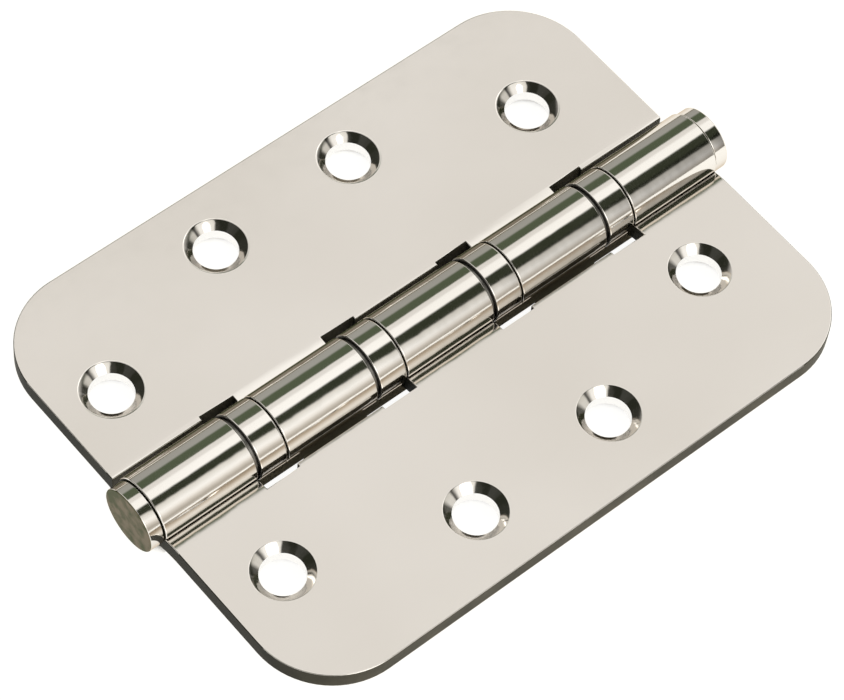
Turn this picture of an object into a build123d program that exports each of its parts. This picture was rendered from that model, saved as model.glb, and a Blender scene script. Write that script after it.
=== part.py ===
from build123d import *
import os
from math import acos, asin, atan2, cos, degrees, pi, radians, sin, sqrt

# Ball bearing butt hinge with rounded corners, lying open flat with its screw faces up.
# X runs across the leaves, Y along the pin and Z up. The origin is the middle of the pin's axis.

# Leaves, each cut from one sheet and rolled round the pin
leaf_length = 100.0
leaf_width = 37.5            # pin axis to outer edge, along the leaf
leaf_thickness = 3.0
leaf_drop = 0.4              # screw face below the pin axis
corner_radius = 12.5
bend_radius = 14.0           # dip of the sheet towards the barrel, at mid thickness
seam_gap = 0.25              # rolled end to the leaf that it closes on
knuckle_count = 5
knuckle_gap = 1.3            # cut edge to the other leaf's knuckles
slot_depth = 0.65            # further cut back beside each bearing
slot_overrun = 0.3           # slot past the bearing, beside the other leaf's knuckle

# Countersunk screw holes, four to a leaf
hole_diameter = 6.6
countersink_diameter = 9.2
countersink_angle = 100.0
end_hole_inset = 11.4        # from the leaf's end
end_hole_margin = 19.2       # from the leaf's outer edge
middle_hole_spacing = 24.6
middle_hole_margin = 9.8
punch_shift_across = -0.75   # all eight holes, as the open hinge lay askew under the punch
punch_shift_along = -2.4
punch_turn = 1.4             # degrees

# Pin and its caps
pin_diameter = 4.5
pin_clearance = 0.05         # pin in the knuckles, on the radius
cap_length = 2.3
cap_step = 0.3               # cap's radius below the barrel's
cap_gap = 0.1                # cap to the end knuckle
cap_socket_depth = 1.4
press_clearance = 0.01       # pressed pieces, on the radius

# Thrust bearings, one between each pair of knuckles
bearing_length = 5.4
shell_wall = 0.5
shell_gap = 0.6              # open end of the shell to the knuckle
rim_relief = 0.25            # rim of the shell slopes back from the knuckle above
rim_width = 0.6              # how far in the slope starts, on the radius
bearing_clearance = 0.1      # shell and race round the pin, on the radius
race_clearance = 0.1         # race in the shell, on the radius
ball_side_clearance = 0.1    # balls between the pin's bore and the shell, on the radius
ball_end_clearance = 0.03    # balls to the race and to the shell's floor
ball_spacing = 0.15          # least room between neighbouring balls

# Radii about the pin axis
pin_radius = pin_diameter / 2
bore_radius = pin_radius + pin_clearance
barrel_radius = bore_radius + leaf_thickness
cap_radius = barrel_radius - cap_step
shell_inner_radius = barrel_radius - shell_wall
bearing_bore_radius = pin_radius + bearing_clearance
race_radius = shell_inner_radius - race_clearance
pitch_radius = (bearing_bore_radius + shell_inner_radius) / 2

# As many balls as go round the pin in one row
ball_diameter = shell_inner_radius - bearing_bore_radius - 2 * ball_side_clearance
ball_count = int(pi / asin((ball_diameter + ball_spacing) / 2 / pitch_radius))

# Stations along the pin
knuckle_length = (leaf_length - (knuckle_count - 1) * bearing_length) / knuckle_count
knuckle_pitch = knuckle_length + bearing_length
ball_room = ball_diameter + 2 * ball_end_clearance
race_thickness = (bearing_length - ball_room) / 2

# Section of the sheet: flat, then a dip that turns over into the roll under the pin
leaf_back = leaf_drop + leaf_thickness
sheet_middle = -leaf_drop - leaf_thickness / 2
roll_radius = barrel_radius - leaf_thickness / 2
bend_centre_distance = bend_radius + roll_radius
bend_centre_height = sheet_middle - bend_radius
bend_start = sqrt(bend_centre_distance**2 - bend_centre_height**2)
bend_top_radius = bend_radius + leaf_thickness / 2
bend_back_radius = bend_radius - leaf_thickness / 2
roll_start = degrees(atan2(bend_centre_height, bend_start))
seam_cosine = (bend_centre_distance**2 + barrel_radius**2 - bend_top_radius**2) / (
    2 * bend_centre_distance * barrel_radius
)
roll_end = roll_start + degrees(acos(seam_cosine)) + degrees(seam_gap / barrel_radius)
roll_middle = (roll_start + roll_end - 360) / 2
bend_middle = (90 + 180 + roll_start) / 2

# Cut edges of a leaf, measured from the pin axis
cut_edge = barrel_radius + knuckle_gap
slot_edge = cut_edge + slot_depth


def knuckle_start(number):
    """Station where a knuckle begins, counted from 1 at the -Y end."""
    return -leaf_length / 2 + (number - 1) * knuckle_pitch


def bearing_start(number):
    """Station where a bearing begins, on top of the knuckle of the same number."""
    return knuckle_start(number) + knuckle_length


def on_roll(side, radius, angle):
    """Point of a leaf's section on a circle about the pin, angle from the leaf's own side."""
    return (side * radius * cos(radians(angle)), radius * sin(radians(angle)))


def on_bend(side, radius, angle):
    """Point of a leaf's section on a circle about the centre of its dip."""
    x = bend_start + radius * cos(radians(angle))
    return (side * x, bend_centre_height + radius * sin(radians(angle)))


def make_leaf(side, own_knuckles):
    """Leaf on one side of the pin, with its rolled knuckles and countersunk holes."""
    outward = Align.MAX if side > 0 else Align.MIN
    bend_end = 180 + roll_start
    with BuildPart() as leaf:
        with BuildSketch(Plane.XZ):
            with BuildLine():
                Line((side * leaf_width, -leaf_back), (side * leaf_width, -leaf_drop))
                Line((side * leaf_width, -leaf_drop), (side * bend_start, -leaf_drop))
                ThreePointArc(
                    on_bend(side, bend_top_radius, 90),
                    on_bend(side, bend_top_radius, bend_middle),
                    on_bend(side, bend_top_radius, bend_end),
                )
                ThreePointArc(
                    on_roll(side, bore_radius, roll_start),
                    on_roll(side, bore_radius, roll_middle),
                    on_roll(side, bore_radius, roll_end),
                )
                Line(on_roll(side, bore_radius, roll_end), on_roll(side, barrel_radius, roll_end))
                ThreePointArc(
                    on_roll(side, barrel_radius, roll_end),
                    on_roll(side, barrel_radius, roll_middle),
                    on_roll(side, barrel_radius, roll_start),
                )
                ThreePointArc(
                    on_bend(side, bend_back_radius, bend_end),
                    on_bend(side, bend_back_radius, bend_middle),
                    on_bend(side, bend_back_radius, 90),
                )
                Line((side * bend_start, -leaf_back), (side * leaf_width, -leaf_back))
            make_face()
        extrude(amount=leaf_length / 2, both=True)

        # Rounded outer corners
        fillet(leaf.edges().filter_by(Axis.Z), corner_radius)

        # Room for the other leaf's knuckles, and deeper slots beside the bearings
        with BuildSketch(Plane.XY):
            for number in range(1, knuckle_count + 1):
                if number not in own_knuckles:
                    first = knuckle_start(number) - bearing_length
                    with Locations((side * cut_edge, first + (knuckle_length + 2 * bearing_length) / 2)):
                        Rectangle(
                            cut_edge + 2 * barrel_radius,
                            knuckle_length + 2 * bearing_length,
                            align=(outward, Align.CENTER),
                        )
            for number in range(1, knuckle_count):
                first = bearing_start(number) - (0 if number in own_knuckles else slot_overrun)
                with Locations((side * slot_edge, first)):
                    Rectangle(
                        slot_edge + 2 * barrel_radius,
                        bearing_length + slot_overrun,
                        align=(outward, Align.MIN),
                    )
        extrude(amount=2 * barrel_radius, both=True, mode=Mode.SUBTRACT)

        # Countersunk screw holes
        end_hole_y = leaf_length / 2 - end_hole_inset
        middle_hole_y = middle_hole_spacing / 2
        end_hole_x = side * (leaf_width - end_hole_margin)
        middle_hole_x = side * (leaf_width - middle_hole_margin)
        with Locations(Location((punch_shift_across, punch_shift_along, -leaf_drop), (0, 0, punch_turn))):
            with Locations(
                (end_hole_x, -end_hole_y),
                (middle_hole_x, -middle_hole_y),
                (middle_hole_x, middle_hole_y),
                (end_hole_x, end_hole_y),
            ):
                CounterSinkHole(
                    hole_diameter / 2,
                    countersink_diameter / 2,
                    counter_sink_angle=countersink_angle,
                )
    return leaf.part


def make_shell(start):
    """Turned cup over a bearing, its floor against the knuckle above it and its rim sloped back."""
    top = start + bearing_length
    floor = top - race_thickness
    with BuildPart() as shell:
        with BuildSketch(Plane.XY):
            with BuildLine():
                Polyline(
                    (shell_inner_radius, start + shell_gap),
                    (barrel_radius, start + shell_gap),
                    (barrel_radius, top - rim_relief),
                    (barrel_radius - rim_width, top),
                    (bearing_bore_radius, top),
                    (bearing_bore_radius, floor),
                    (shell_inner_radius, floor),
                    close=True,
                )
            make_face()
        revolve(axis=Axis.Y)
    return shell.part


def make_race(start):
    """Washer under the balls, on the knuckle below them."""
    with BuildPart() as race:
        with BuildSketch(Plane(origin=(0, start, 0), x_dir=(1, 0, 0), z_dir=(0, 1, 0))):
            Circle(race_radius)
            Circle(bearing_bore_radius, mode=Mode.SUBTRACT)
        extrude(amount=race_thickness)
    return race.part


def make_balls(start):
    """Full row of balls on a race, each drawn with 26 flats because there are so many."""
    station = start + race_thickness + ball_room / 2
    with BuildPart() as ball:
        Box(ball_diameter, ball_diameter, ball_diameter)
        chamfer(ball.edges(), ball_diameter / (2 + sqrt(2)))
    with BuildPart() as balls:
        with Locations(Plane(origin=(0, station, 0), x_dir=(1, 0, 0), z_dir=(0, 1, 0))):
            with PolarLocations(pitch_radius, ball_count):
                add(ball.part)
    return balls.part


def make_cap(end):
    """Flat-faced cap pressed on one end of the pin; end is -1 or 1 along the pin."""
    back = leaf_length / 2 + cap_gap
    face = back + cap_length
    with BuildPart() as cap:
        with BuildSketch(Plane.XY):
            with BuildLine():
                Polyline(
                    (0, end * face),
                    (cap_radius, end * face),
                    (cap_radius, end * back),
                    (pin_radius + press_clearance, end * back),
                    (pin_radius + press_clearance, end * (back + cap_socket_depth)),
                    (0, end * (back + cap_socket_depth)),
                    close=True,
                )
            make_face()
        revolve(axis=Axis.Y)
    return cap.part


# Pin, from the floor of one cap's socket to the other's
with BuildPart() as pin:
    with Locations(Plane(origin=(0, 0, 0), x_dir=(1, 0, 0), z_dir=(0, 1, 0))):
        Cylinder(pin_radius, leaf_length + 2 * (cap_gap + cap_socket_depth))

pieces = {
    "frame_leaf": make_leaf(1, range(1, knuckle_count + 1, 2)),
    "door_leaf": make_leaf(-1, range(2, knuckle_count + 1, 2)),
    "hinge_pin": pin.part,
    "bottom_cap": make_cap(-1),
    "top_cap": make_cap(1),
}
for number in range(1, knuckle_count):
    start = bearing_start(number)
    pieces[f"bearing_{number}_shell"] = make_shell(start)
    pieces[f"bearing_{number}_race"] = make_race(start)
    pieces[f"bearing_{number}_balls"] = make_balls(start)

os.makedirs("parts", exist_ok=True)
for name, piece in pieces.items():
    piece.label = name
    export_step(piece, f"parts/{name}.step")
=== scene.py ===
import math

import bmesh
import bpy
from mathutils import Matrix, Quaternion, Vector


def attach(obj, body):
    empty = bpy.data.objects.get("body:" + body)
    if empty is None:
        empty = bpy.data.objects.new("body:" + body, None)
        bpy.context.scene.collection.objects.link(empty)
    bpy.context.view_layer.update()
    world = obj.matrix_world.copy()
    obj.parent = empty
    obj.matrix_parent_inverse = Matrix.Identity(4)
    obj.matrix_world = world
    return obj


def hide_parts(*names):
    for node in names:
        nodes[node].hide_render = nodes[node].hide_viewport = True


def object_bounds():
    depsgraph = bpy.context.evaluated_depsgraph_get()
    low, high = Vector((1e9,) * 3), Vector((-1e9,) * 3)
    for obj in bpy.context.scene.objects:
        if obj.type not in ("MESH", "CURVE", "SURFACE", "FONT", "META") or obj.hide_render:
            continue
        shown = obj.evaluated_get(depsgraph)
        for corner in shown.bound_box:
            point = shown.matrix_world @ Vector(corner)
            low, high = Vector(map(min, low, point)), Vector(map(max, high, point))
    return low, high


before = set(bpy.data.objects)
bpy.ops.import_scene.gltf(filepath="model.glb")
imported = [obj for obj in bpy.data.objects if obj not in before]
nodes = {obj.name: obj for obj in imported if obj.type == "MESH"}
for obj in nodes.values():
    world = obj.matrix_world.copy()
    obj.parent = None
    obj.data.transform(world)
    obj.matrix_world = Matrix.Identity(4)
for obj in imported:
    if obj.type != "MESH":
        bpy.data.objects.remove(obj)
cad_low, cad_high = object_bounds()

# Leaves: two plates of 3 mm steel sheet, blanked, rolled into knuckles round the pin,
# countersunk for the screws and nickel plated to a mirror. The sheared edges stay dark, with
# painted light on those that face across the pin; the drilled walls of the holes are bright.
edge_rounding = 0.00018
rim_rounding = 0.0004
rim_radius = 0.0046
rim_lowest = -0.0005
hole_radius = 0.0033
hole_top_lowest = -0.003
hole_reach = hole_radius * 1.1
same_radius = 0.0001
barrel_radius = 0.0053
barrel_reach = barrel_radius * 1.02
weld_distance = 1e-7
flat_angle = math.radians(0.3)
corner_angle = math.radians(30)
upright_limit = 0.1
leaf_end_limit = 0.99
pattern_turn = Matrix.Rotation(math.radians(1.4), 2)
pattern_shift = Vector((-0.00075, -0.0024))
leaf_holes = ((0.0183, -0.0386), (0.0277, -0.0123), (0.0277, 0.0123), (0.0183, 0.0386))
screw_places = [
    pattern_turn @ Vector((side * across, along)) + pattern_shift
    for side in (-1, 1)
    for across, along in leaf_holes
]


def feed(tree, socket, value):
    """Link another node's output to a socket, or set a plain number on it."""
    if isinstance(value, bpy.types.NodeSocket):
        tree.links.new(value, socket)
    else:
        socket.default_value = value


def maths(tree, operation, *values):
    """Result of one maths node."""
    node = tree.nodes.new("ShaderNodeMath")
    node.operation = operation
    for socket, value in zip(node.inputs, values):
        feed(tree, socket, value)
    return node.outputs["Value"]


def ranged(tree, value, from_low, from_high, to_low=0.0, to_high=1.0, kind="LINEAR"):
    """Value carried over from one range to another and held at its ends."""
    node = tree.nodes.new("ShaderNodeMapRange")
    node.interpolation_type = kind
    feed(tree, node.inputs["Value"], value)
    feed(tree, node.inputs["From Min"], from_low)
    feed(tree, node.inputs["From Max"], from_high)
    feed(tree, node.inputs["To Min"], to_low)
    feed(tree, node.inputs["To Max"], to_high)
    return node.outputs["Result"]


def toned(tree, value, stops):
    """Colours along a value; each stop is a position and a colour."""
    node = tree.nodes.new("ShaderNodeValToRGB")
    elements = node.color_ramp.elements
    while len(elements) < len(stops):
        elements.new(0.5)
    for element, (position, colour) in zip(elements, stops):
        element.position = position
        element.color = (*colour, 1)
    tree.links.new(value, node.inputs["Fac"])
    return node.outputs["Color"]


def noise(tree, scale, detail=2.0):
    """Noise that stays fixed to the piece."""
    place = tree.nodes.new("ShaderNodeTexCoord")
    node = tree.nodes.new("ShaderNodeTexNoise")
    node.inputs["Scale"].default_value = scale
    node.inputs["Detail"].default_value = detail
    tree.links.new(place.outputs["Object"], node.inputs["Vector"])
    return node.outputs["Fac"]


def new_finish(name, metallic=0.0, roughness=0.5):
    """Plain material to build on, with its node tree and its shader."""
    finish = bpy.data.materials.new(name)
    finish.use_nodes = True
    shader = finish.node_tree.nodes["Principled BSDF"]
    shader.inputs["Metallic"].default_value = metallic
    shader.inputs["Roughness"].default_value = roughness
    return finish, finish.node_tree, shader


def polished_nickel():
    """Mirror nickel plate: a warm tint that drifts a little, faint rubbing marks and waves."""
    plate, tree, shader = new_finish("polished_nickel", metallic=1.0)
    shader.inputs["Specular Tint"].default_value = (0.70, 0.62, 0.53, 1)
    drift = noise(tree, scale=22.0)
    tint = toned(tree, drift, ((0.35, (0.840, 0.812, 0.768)), (0.65, (0.895, 0.870, 0.832))))
    rubbing = noise(tree, scale=350.0, detail=4.0)
    gloss = ranged(tree, rubbing, 0.0, 1.0, to_low=0.06, to_high=0.12)
    waves = noise(tree, scale=200.0)
    rolled = tree.nodes.new("ShaderNodeBump")
    rolled.inputs["Distance"].default_value = 0.00003
    tree.links.new(waves, rolled.inputs["Height"])
    tree.links.new(tint, shader.inputs["Base Color"])
    tree.links.new(gloss, shader.inputs["Roughness"])
    tree.links.new(rolled.outputs["Normal"], shader.inputs["Normal"])
    return plate


def cut_steel():
    """Sheared edges under thin plating: near black, with a browner painted light on those facing
    sideways.
    """
    cut, tree, shader = new_finish("cut_steel", roughness=0.5)
    shader.inputs["Specular IOR Level"].default_value = 0.08
    grain = noise(tree, scale=160.0, detail=3.0)
    sheared = toned(tree, grain, ((0.35, (0.016, 0.018, 0.010)), (0.7, (0.042, 0.040, 0.027))))
    # Painted light: edges that face across the pin get this lighter brown, as if lit by the side
    # boxes.
    painted_side_light = toned(tree, grain, ((0.35, (0.100, 0.095, 0.072)), (0.7, (0.172, 0.160, 0.124))))
    place = tree.nodes.new("ShaderNodeTexCoord")
    facing = tree.nodes.new("ShaderNodeSeparateXYZ")
    tree.links.new(place.outputs["Normal"], facing.inputs["Vector"])
    side_lit_facing = maths(tree, "ABSOLUTE", facing.outputs["X"])
    edge_tone_with_painted_light = tree.nodes.new("ShaderNodeMix")
    edge_tone_with_painted_light.data_type = "RGBA"
    tree.links.new(ranged(tree, side_lit_facing, 0.2, 0.95), edge_tone_with_painted_light.inputs["Factor"])
    tree.links.new(sheared, edge_tone_with_painted_light.inputs["A"])
    tree.links.new(painted_side_light, edge_tone_with_painted_light.inputs["B"])
    tree.links.new(edge_tone_with_painted_light.outputs["Result"], shader.inputs["Base Color"])
    return cut


def drilled_wall():
    """Walls of the screw holes: fresh cut under the plating, brighter than the faces."""
    wall, tree, shader = new_finish("drilled_wall", metallic=1.0, roughness=0.35)
    grain = noise(tree, scale=400.0)
    tint = toned(tree, grain, ((0.0, (0.955, 0.950, 0.940)), (1.0, (0.990, 0.985, 0.975))))
    tree.links.new(tint, shader.inputs["Base Color"])
    return wall


def from_screw(point):
    """Distance from the axis of the nearest screw hole."""
    return min((point.xy - place).length for place in screw_places)


def on_ring(edge, radius, lowest):
    """Whether an edge lies on a circle round a screw hole, above the given height."""
    return all(v.co.z > lowest and abs(from_screw(v.co) - radius) < same_radius for v in edge.verts)


def ease(shape, edges, rounding, segments):
    """Round the given edges of a solid."""
    bmesh.ops.bevel(
        shape,
        geom=edges,
        offset=rounding,
        offset_type="OFFSET",
        affect="EDGES",
        segments=segments,
        profile=0.5,
        material=-1,
        clamp_overlap=True,
    )


def rounded_copy(name, node, materials, pick, rounding):
    """Copy of a solid with its corners eased; pick(centre, normal) names each face's material."""
    shape = bmesh.new()
    shape.from_mesh(node.data)
    bmesh.ops.remove_doubles(shape, verts=shape.verts, dist=weld_distance)
    bmesh.ops.dissolve_limit(shape, angle_limit=flat_angle, verts=shape.verts, edges=shape.edges)
    for face in shape.faces:
        face.material_index = pick(face.calc_center_median(), face.normal)
    rims = [e for e in shape.edges if on_ring(e, rim_radius, rim_lowest)]
    ease(shape, rims, rim_rounding, segments=5)
    for edge in shape.edges:
        edge.smooth = not on_ring(edge, hole_radius, hole_top_lowest)
    corners = [e for e in shape.edges if e.smooth and e.calc_face_angle(0) > corner_angle]
    ease(shape, corners, rounding, segments=3)
    for face in shape.faces:
        face.smooth = True
    mesh = bpy.data.meshes.new(name)
    shape.to_mesh(mesh)
    shape.free()
    for material in materials:
        mesh.materials.append(material)
    piece = bpy.data.objects.new(name, mesh)
    bpy.context.scene.collection.objects.link(piece)
    flats = piece.modifiers.new("flats_stay_flat", "WEIGHTED_NORMAL")
    flats.keep_sharp = True
    return piece


def leaf_finish(centre, normal):
    """0 for polished faces and countersinks, 1 for cut edges, 2 for hole walls."""
    upright = abs(normal.z) < upright_limit
    if abs(normal.y) < leaf_end_limit and math.hypot(centre.x, centre.z) < barrel_reach:
        return 0
    if from_screw(centre) < hole_reach:
        return 2 if upright else 0
    return int(upright)


nickel = polished_nickel()
leaf_materials = (nickel, cut_steel(), drilled_wall())
for node_name, body in (("frame_leaf", "frame_side"), ("door_leaf", "door_side")):
    leaf = rounded_copy(
        node_name + "_plate", nodes[node_name], leaf_materials, leaf_finish, edge_rounding
    )
    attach(leaf, body)
    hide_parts(node_name)

# Bearing collars: turned steel cups between the knuckles, plated like the leaves, each with a
# ring of loose balls and a plain washer inside. Their corners are broken, so a fine groove
# shows at both ends.
collar_rounding = 0.00026
collar_inside = 0.0050
turned_end_limit = 0.9


def ground_steel():
    """Plain ground steel of the parts inside: grey, with a dull shine."""
    ground, tree, shader = new_finish("ground_steel", metallic=1.0, roughness=0.32)
    grain = noise(tree, scale=500.0)
    tint = toned(tree, grain, ((0.0, (0.20, 0.195, 0.18)), (1.0, (0.34, 0.33, 0.31))))
    tree.links.new(tint, shader.inputs["Base Color"])
    return ground


def collar_finish(centre, normal):
    """0 for the plated outside, 1 for the ends and the inside."""
    return int(abs(normal.y) > turned_end_limit or math.hypot(centre.x, centre.z) < collar_inside)


steel = ground_steel()
for number in (1, 2, 3, 4):
    shell_name = f"bearing_{number}_shell"
    collar = rounded_copy(
        f"bearing_{number}_collar",
        nodes[shell_name],
        (nickel, steel),
        collar_finish,
        collar_rounding,
    )
    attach(collar, "door_side" if number % 2 else "frame_side")
    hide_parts(shell_name)
    for inner in ("race", "balls"):
        nodes[f"bearing_{number}_{inner}"].data.materials[0] = steel
nodes["hinge_pin"].data.materials[0] = steel

# Caps: plain steel buttons pressed on the ends of the pin. The band is polished with the
# barrel, and the end face is left dull from turning.
cap_rounding = 0.0002


def dull_steel():
    """Turned end face: brown-grey, dull, blotched with olive."""
    dull, tree, shader = new_finish("dull_steel", metallic=0.35, roughness=0.6)
    blotch = noise(tree, scale=420.0, detail=6.0)
    tint = toned(tree, blotch, ((0.4, (0.100, 0.112, 0.038)), (0.58, (0.300, 0.250, 0.165))))
    tree.links.new(tint, shader.inputs["Base Color"])
    return dull


def cap_finish(centre, normal):
    """0 for the polished band, 1 for the end faces."""
    return int(abs(normal.y) > turned_end_limit)


dull_end = dull_steel()
for end in ("bottom", "top"):
    button = rounded_copy(
        f"{end}_button", nodes[f"{end}_cap"], (nickel, dull_end), cap_finish, cap_rounding
    )
    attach(button, "frame_side")
    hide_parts(f"{end}_cap")

# Floor: a wide sheet of white paper just under the hinge, whose white is a glow over a dim
# brown matt. It looks white to the eye. Painted shade cuts the glow where the leaves nearly
# touch it and in a band under the barrel, and a painted strip of light lies under each slot
# beside a bearing. In the metal a painted pool of light leaves its far left dark.
floor_size = 4.0
floor_drop = 0.00002
floor_white = 0.94
painted_pool_from = -0.15
painted_pool_full = -0.088
shade_reach = 0.006
leaf_shade = (0.16, 0.24)
barrel_shade = (0.32, 0.52)
barrel_shade_half_width = 0.0068
barrel_shade_half_length = 0.040
slot_row_start = -0.0353
slot_row_next = -0.01422
slot_light_end = -0.0255
slot_light_middle = 0.00485
slot_light_half_width = 0.0004
floor_mesh = bpy.data.meshes.new("floor")
sheet = bmesh.new()
bmesh.ops.create_grid(sheet, x_segments=1, y_segments=1, size=floor_size)
bmesh.ops.translate(sheet, verts=sheet.verts, vec=(0, 0, cad_low.z - floor_drop))
sheet.to_mesh(floor_mesh)
sheet.free()
floor = bpy.data.objects.new("floor", floor_mesh)
bpy.context.scene.collection.objects.link(floor)
paper = bpy.data.materials.new("white_paper")
paper.use_nodes = True
tree = paper.node_tree
tree.nodes.remove(tree.nodes["Principled BSDF"])
matt = tree.nodes.new("ShaderNodeBsdfDiffuse")
matt.inputs["Color"].default_value = (0.30, 0.275, 0.20, 1)
glow = tree.nodes.new("ShaderNodeEmission")
both = tree.nodes.new("ShaderNodeAddShader")
place = tree.nodes.new("ShaderNodeTexCoord")
spot = tree.nodes.new("ShaderNodeSeparateXYZ")
tree.links.new(place.outputs["Object"], spot.inputs["Vector"])
floor_x, floor_y = spot.outputs["X"], spot.outputs["Y"]

# Painted shade on the floor's glow: it is cut where the hinge is close by, and more strongly in
# a band under the barrel.
open_sky = tree.nodes.new("ShaderNodeAmbientOcclusion")
open_sky.samples = 32
open_sky.inputs["Distance"].default_value = shade_reach
beside_pin = maths(tree, "COMPARE", floor_x, 0.0, barrel_shade_half_width)
along_pin = maths(tree, "COMPARE", floor_y, 0.0, barrel_shade_half_length)
painted_barrel_shadow = maths(tree, "MULTIPLY", beside_pin, along_pin)
# Painted shade: the glow is cut by nearby occlusion, harder inside the band under the barrel.
clear_of_painted_shade = tree.nodes.new("ShaderNodeMix")
tree.links.new(painted_barrel_shadow, clear_of_painted_shade.inputs["Factor"])
tree.links.new(ranged(tree, open_sky.outputs["AO"], *leaf_shade), clear_of_painted_shade.inputs["A"])
tree.links.new(ranged(tree, open_sky.outputs["AO"], *barrel_shade), clear_of_painted_shade.inputs["B"])
# Painted light: a strip of glow kept on under each slot beside a bearing, whatever the occlusion.
along_slots = maths(tree, "WRAP", floor_y, slot_row_next, slot_row_start)
in_slot = maths(tree, "LESS_THAN", along_slots, slot_light_end)
past_edge = maths(tree, "COMPARE", floor_x, slot_light_middle, slot_light_half_width)
painted_slot_light = maths(tree, "MULTIPLY", in_slot, past_edge)
painted_light_and_shade = maths(tree, "MAXIMUM", clear_of_painted_shade.outputs["Result"], painted_slot_light)

# What the eye and the metal see of it. In the metal a painted pool of light fades the glow
# out towards the far left.
seen = tree.nodes.new("ShaderNodeLightPath")
mirrored = maths(
    tree, "MAXIMUM", seen.outputs["Is Glossy Ray"], seen.outputs["Is Transmission Ray"]
)
painted_pool = ranged(tree, floor_x, painted_pool_from, painted_pool_full, kind="SMOOTHSTEP")
in_metal = maths(tree, "MULTIPLY", mirrored, painted_pool)
in_view = maths(tree, "MAXIMUM", seen.outputs["Is Camera Ray"], in_metal)
shown = maths(tree, "MULTIPLY", in_view, painted_light_and_shade)
tree.links.new(maths(tree, "MULTIPLY", shown, floor_white), glow.inputs["Strength"])
tree.links.new(matt.outputs["BSDF"], both.inputs[0])
tree.links.new(glow.outputs["Emission"], both.inputs[1])
tree.links.new(both.outputs["Shader"], tree.nodes["Material Output"].inputs["Surface"])
floor_mesh.materials.append(paper)

# Studio light: soft boxes that run along the pin, one behind and above and one to the right,
# with dark room between them. Each band is an angle about the pin, from straight up. Plain
# soft light fills the rest of the room, except where the countersinks look.
bands_about_pin = (
    (-118, (0.37, 0.365, 0.335)),
    (-64, (0.38, 0.375, 0.345)),
    (-57, (0.092, 0.115, 0.068)),
    (-32.5, (0.088, 0.108, 0.066)),
    (-30, (0.83, 0.80, 0.76)),
    (-19, (0.84, 0.81, 0.77)),
    (-13, (1.08, 1.06, 1.02)),
    (8.5, (1.10, 1.08, 1.04)),
    (13.5, (0.033, 0.038, 0.023)),
    (35.5, (0.033, 0.038, 0.023)),
    (40.5, (0.80, 0.77, 0.71)),
    (60, (1.08, 1.06, 1.02)),
    (68, (0.98, 0.94, 0.88)),
    (76, (0.72, 0.67, 0.60)),
    (86, (0.46, 0.42, 0.36)),
    (102, (0.75, 0.70, 0.64)),
)
right_side = (math.radians(18), math.radians(32))
slant_along = (0.30, 0.46)
slant_turn = (math.radians(-5), math.radians(11))
right_box_edge = (math.radians(22), math.radians(38))
box_fronts = (0.15, -0.38)
front_softness = 0.04
front_dim = 0.03
fade_starts = (0.62, 0.34)
fade_stops = (0.80, 0.56)
far_dim = 0.1
far_box = ((0.56, (0, 0, 0)), (0.64, (0.8, 0.8, 0.8)), (0.84, (0.8, 0.8, 0.8)), (0.94, (0, 0, 0)))
fill_middle = (-0.382, 0.390, 0.838)
fill_from_middle = (
    (0.03, (0.55, 0.53, 0.50)),
    (0.09, (0.020, 0.021, 0.015)),
    (0.49, (0.020, 0.021, 0.015)),
    (0.56, (0.56, 0.54, 0.51)),
    (0.90, (0.80, 0.78, 0.74)),
)
fill_along_pin = ((0.16, (1, 1, 1)), (0.24, (0, 0, 0)), (0.54, (0, 0, 0)), (0.62, (1, 1, 1)))
world = bpy.data.worlds.new("studio")
bpy.context.scene.world = world
world.use_nodes = True
tree = world.node_tree
boxes = tree.nodes["Background"]
fill = tree.nodes.new("ShaderNodeBackground")
room = tree.nodes.new("ShaderNodeAddShader")
where = tree.nodes.new("ShaderNodeTexCoord")
parts = tree.nodes.new("ShaderNodeSeparateXYZ")
tree.links.new(where.outputs["Generated"], parts.inputs["Vector"])
lengthwise = parts.outputs["Y"]
around = maths(tree, "ARCTAN2", parts.outputs["X"], parts.outputs["Z"])

# The right box stands a little askew, so its edges slant along the pin.
on_right = ranged(tree, around, *right_side)
slant = ranged(tree, lengthwise, *slant_along, *slant_turn)
askew = maths(tree, "MULTIPLY", on_right, slant)
straightened = maths(tree, "SUBTRACT", around, askew)
turn = ranged(tree, straightened, -math.pi, math.pi)
band_stops = [((angle + 180) / 360, colour) for angle, colour in bands_about_pin]
tree.links.new(toned(tree, turn, band_stops), boxes.inputs["Color"])

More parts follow.
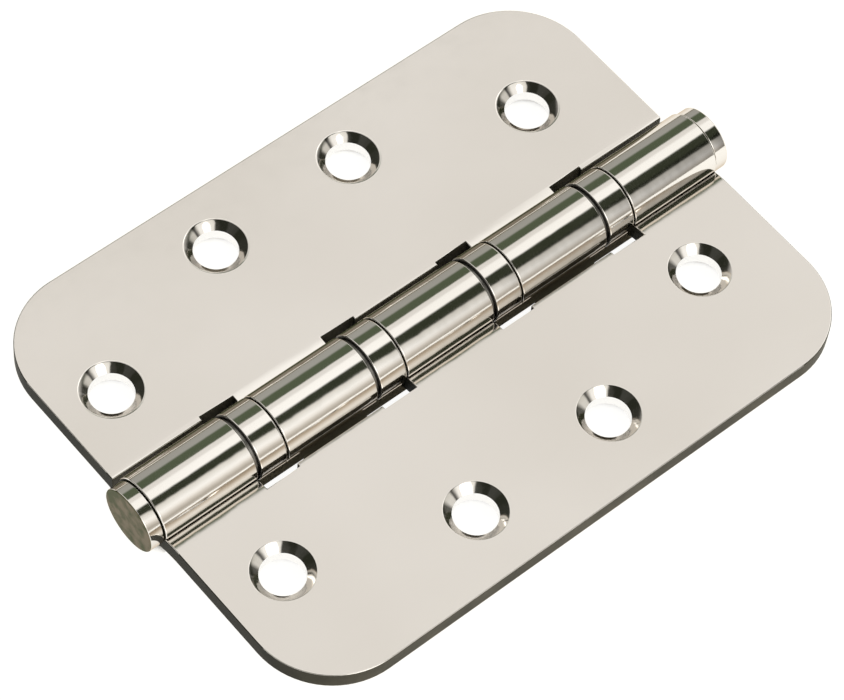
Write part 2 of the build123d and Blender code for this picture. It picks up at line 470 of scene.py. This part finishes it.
# The upper box stops short of the hinge, and the right one comes further forward and fades
# earlier. A second box on the right stands at the far end.
front = ranged(tree, around, *right_box_edge, *box_fronts)
behind = maths(tree, "SUBTRACT", lengthwise, front)
begun = ranged(
    tree, behind, -front_softness, front_softness, front_dim, 1.0, kind="SMOOTHSTEP"
)
fade_start = ranged(tree, around, *right_box_edge, *fade_starts)
fade_stop = ranged(tree, around, *right_box_edge, *fade_stops)
faded = ranged(tree, lengthwise, fade_start, fade_stop, 1.0, far_dim, kind="SMOOTHSTEP")
near_boxes = maths(tree, "MULTIPLY", begun, faded)
far_right = maths(tree, "MULTIPLY", toned(tree, lengthwise, far_box), on_right)
tree.links.new(maths(tree, "MAXIMUM", near_boxes, far_right), boxes.inputs["Strength"])

# The fill keeps clear of the bands and of a dark ring about its middle.
towards = tree.nodes.new("ShaderNodeVectorMath")
towards.operation = "DOT_PRODUCT"
towards.inputs[1].default_value = fill_middle
tree.links.new(where.outputs["Generated"], towards.inputs[0])
tree.links.new(toned(tree, towards.outputs["Value"], fill_from_middle), fill.inputs["Color"])
tree.links.new(toned(tree, lengthwise, fill_along_pin), fill.inputs["Strength"])
tree.links.new(boxes.outputs["Background"], room.inputs[0])
tree.links.new(fill.outputs["Background"], room.inputs[1])
tree.links.new(room.outputs["Shader"], tree.nodes["World Output"].inputs["Surface"])

# Key lamp: a round soft box on the right, which lights the sheared edges on that side and the
# walls of the countersinks that face it.
key_distance = 0.9
key_direction = Vector((0.845, -0.074, 0.530))
key_data = bpy.data.lights.new("key", "AREA")
key_data.shape = "DISK"
key_data.size = 0.5
key_data.energy = 0.62
key = bpy.data.objects.new("key", key_data)
bpy.context.scene.collection.objects.link(key)
key.location = key_distance * key_direction
key.rotation_euler = (-key.location).to_track_quat("-Z", "Y").to_euler()

# Camera: a long lens from the right and above, aimed near the middle of the pin and turned a
# little about its own line of sight.
camera_target = Vector((0.003152, -0.003597, 0.0))
camera_roll = math.radians(6.855)
camera_data = bpy.data.cameras.new("camera")
camera_data.sensor_width = 36.0
camera_data.lens = 157.17
camera = bpy.data.objects.new("camera", camera_data)
bpy.context.scene.collection.objects.link(camera)
camera.location = (0.196529, -0.200885, 0.431063)
aim = camera_target - camera.location
camera.rotation_mode = "QUATERNION"
camera.rotation_quaternion = aim.to_track_quat("-Z", "Y") @ Quaternion((0, 0, 1), camera_roll)
bpy.context.scene.camera = camera
bpy.context.scene.view_settings.view_transform = "Standard"
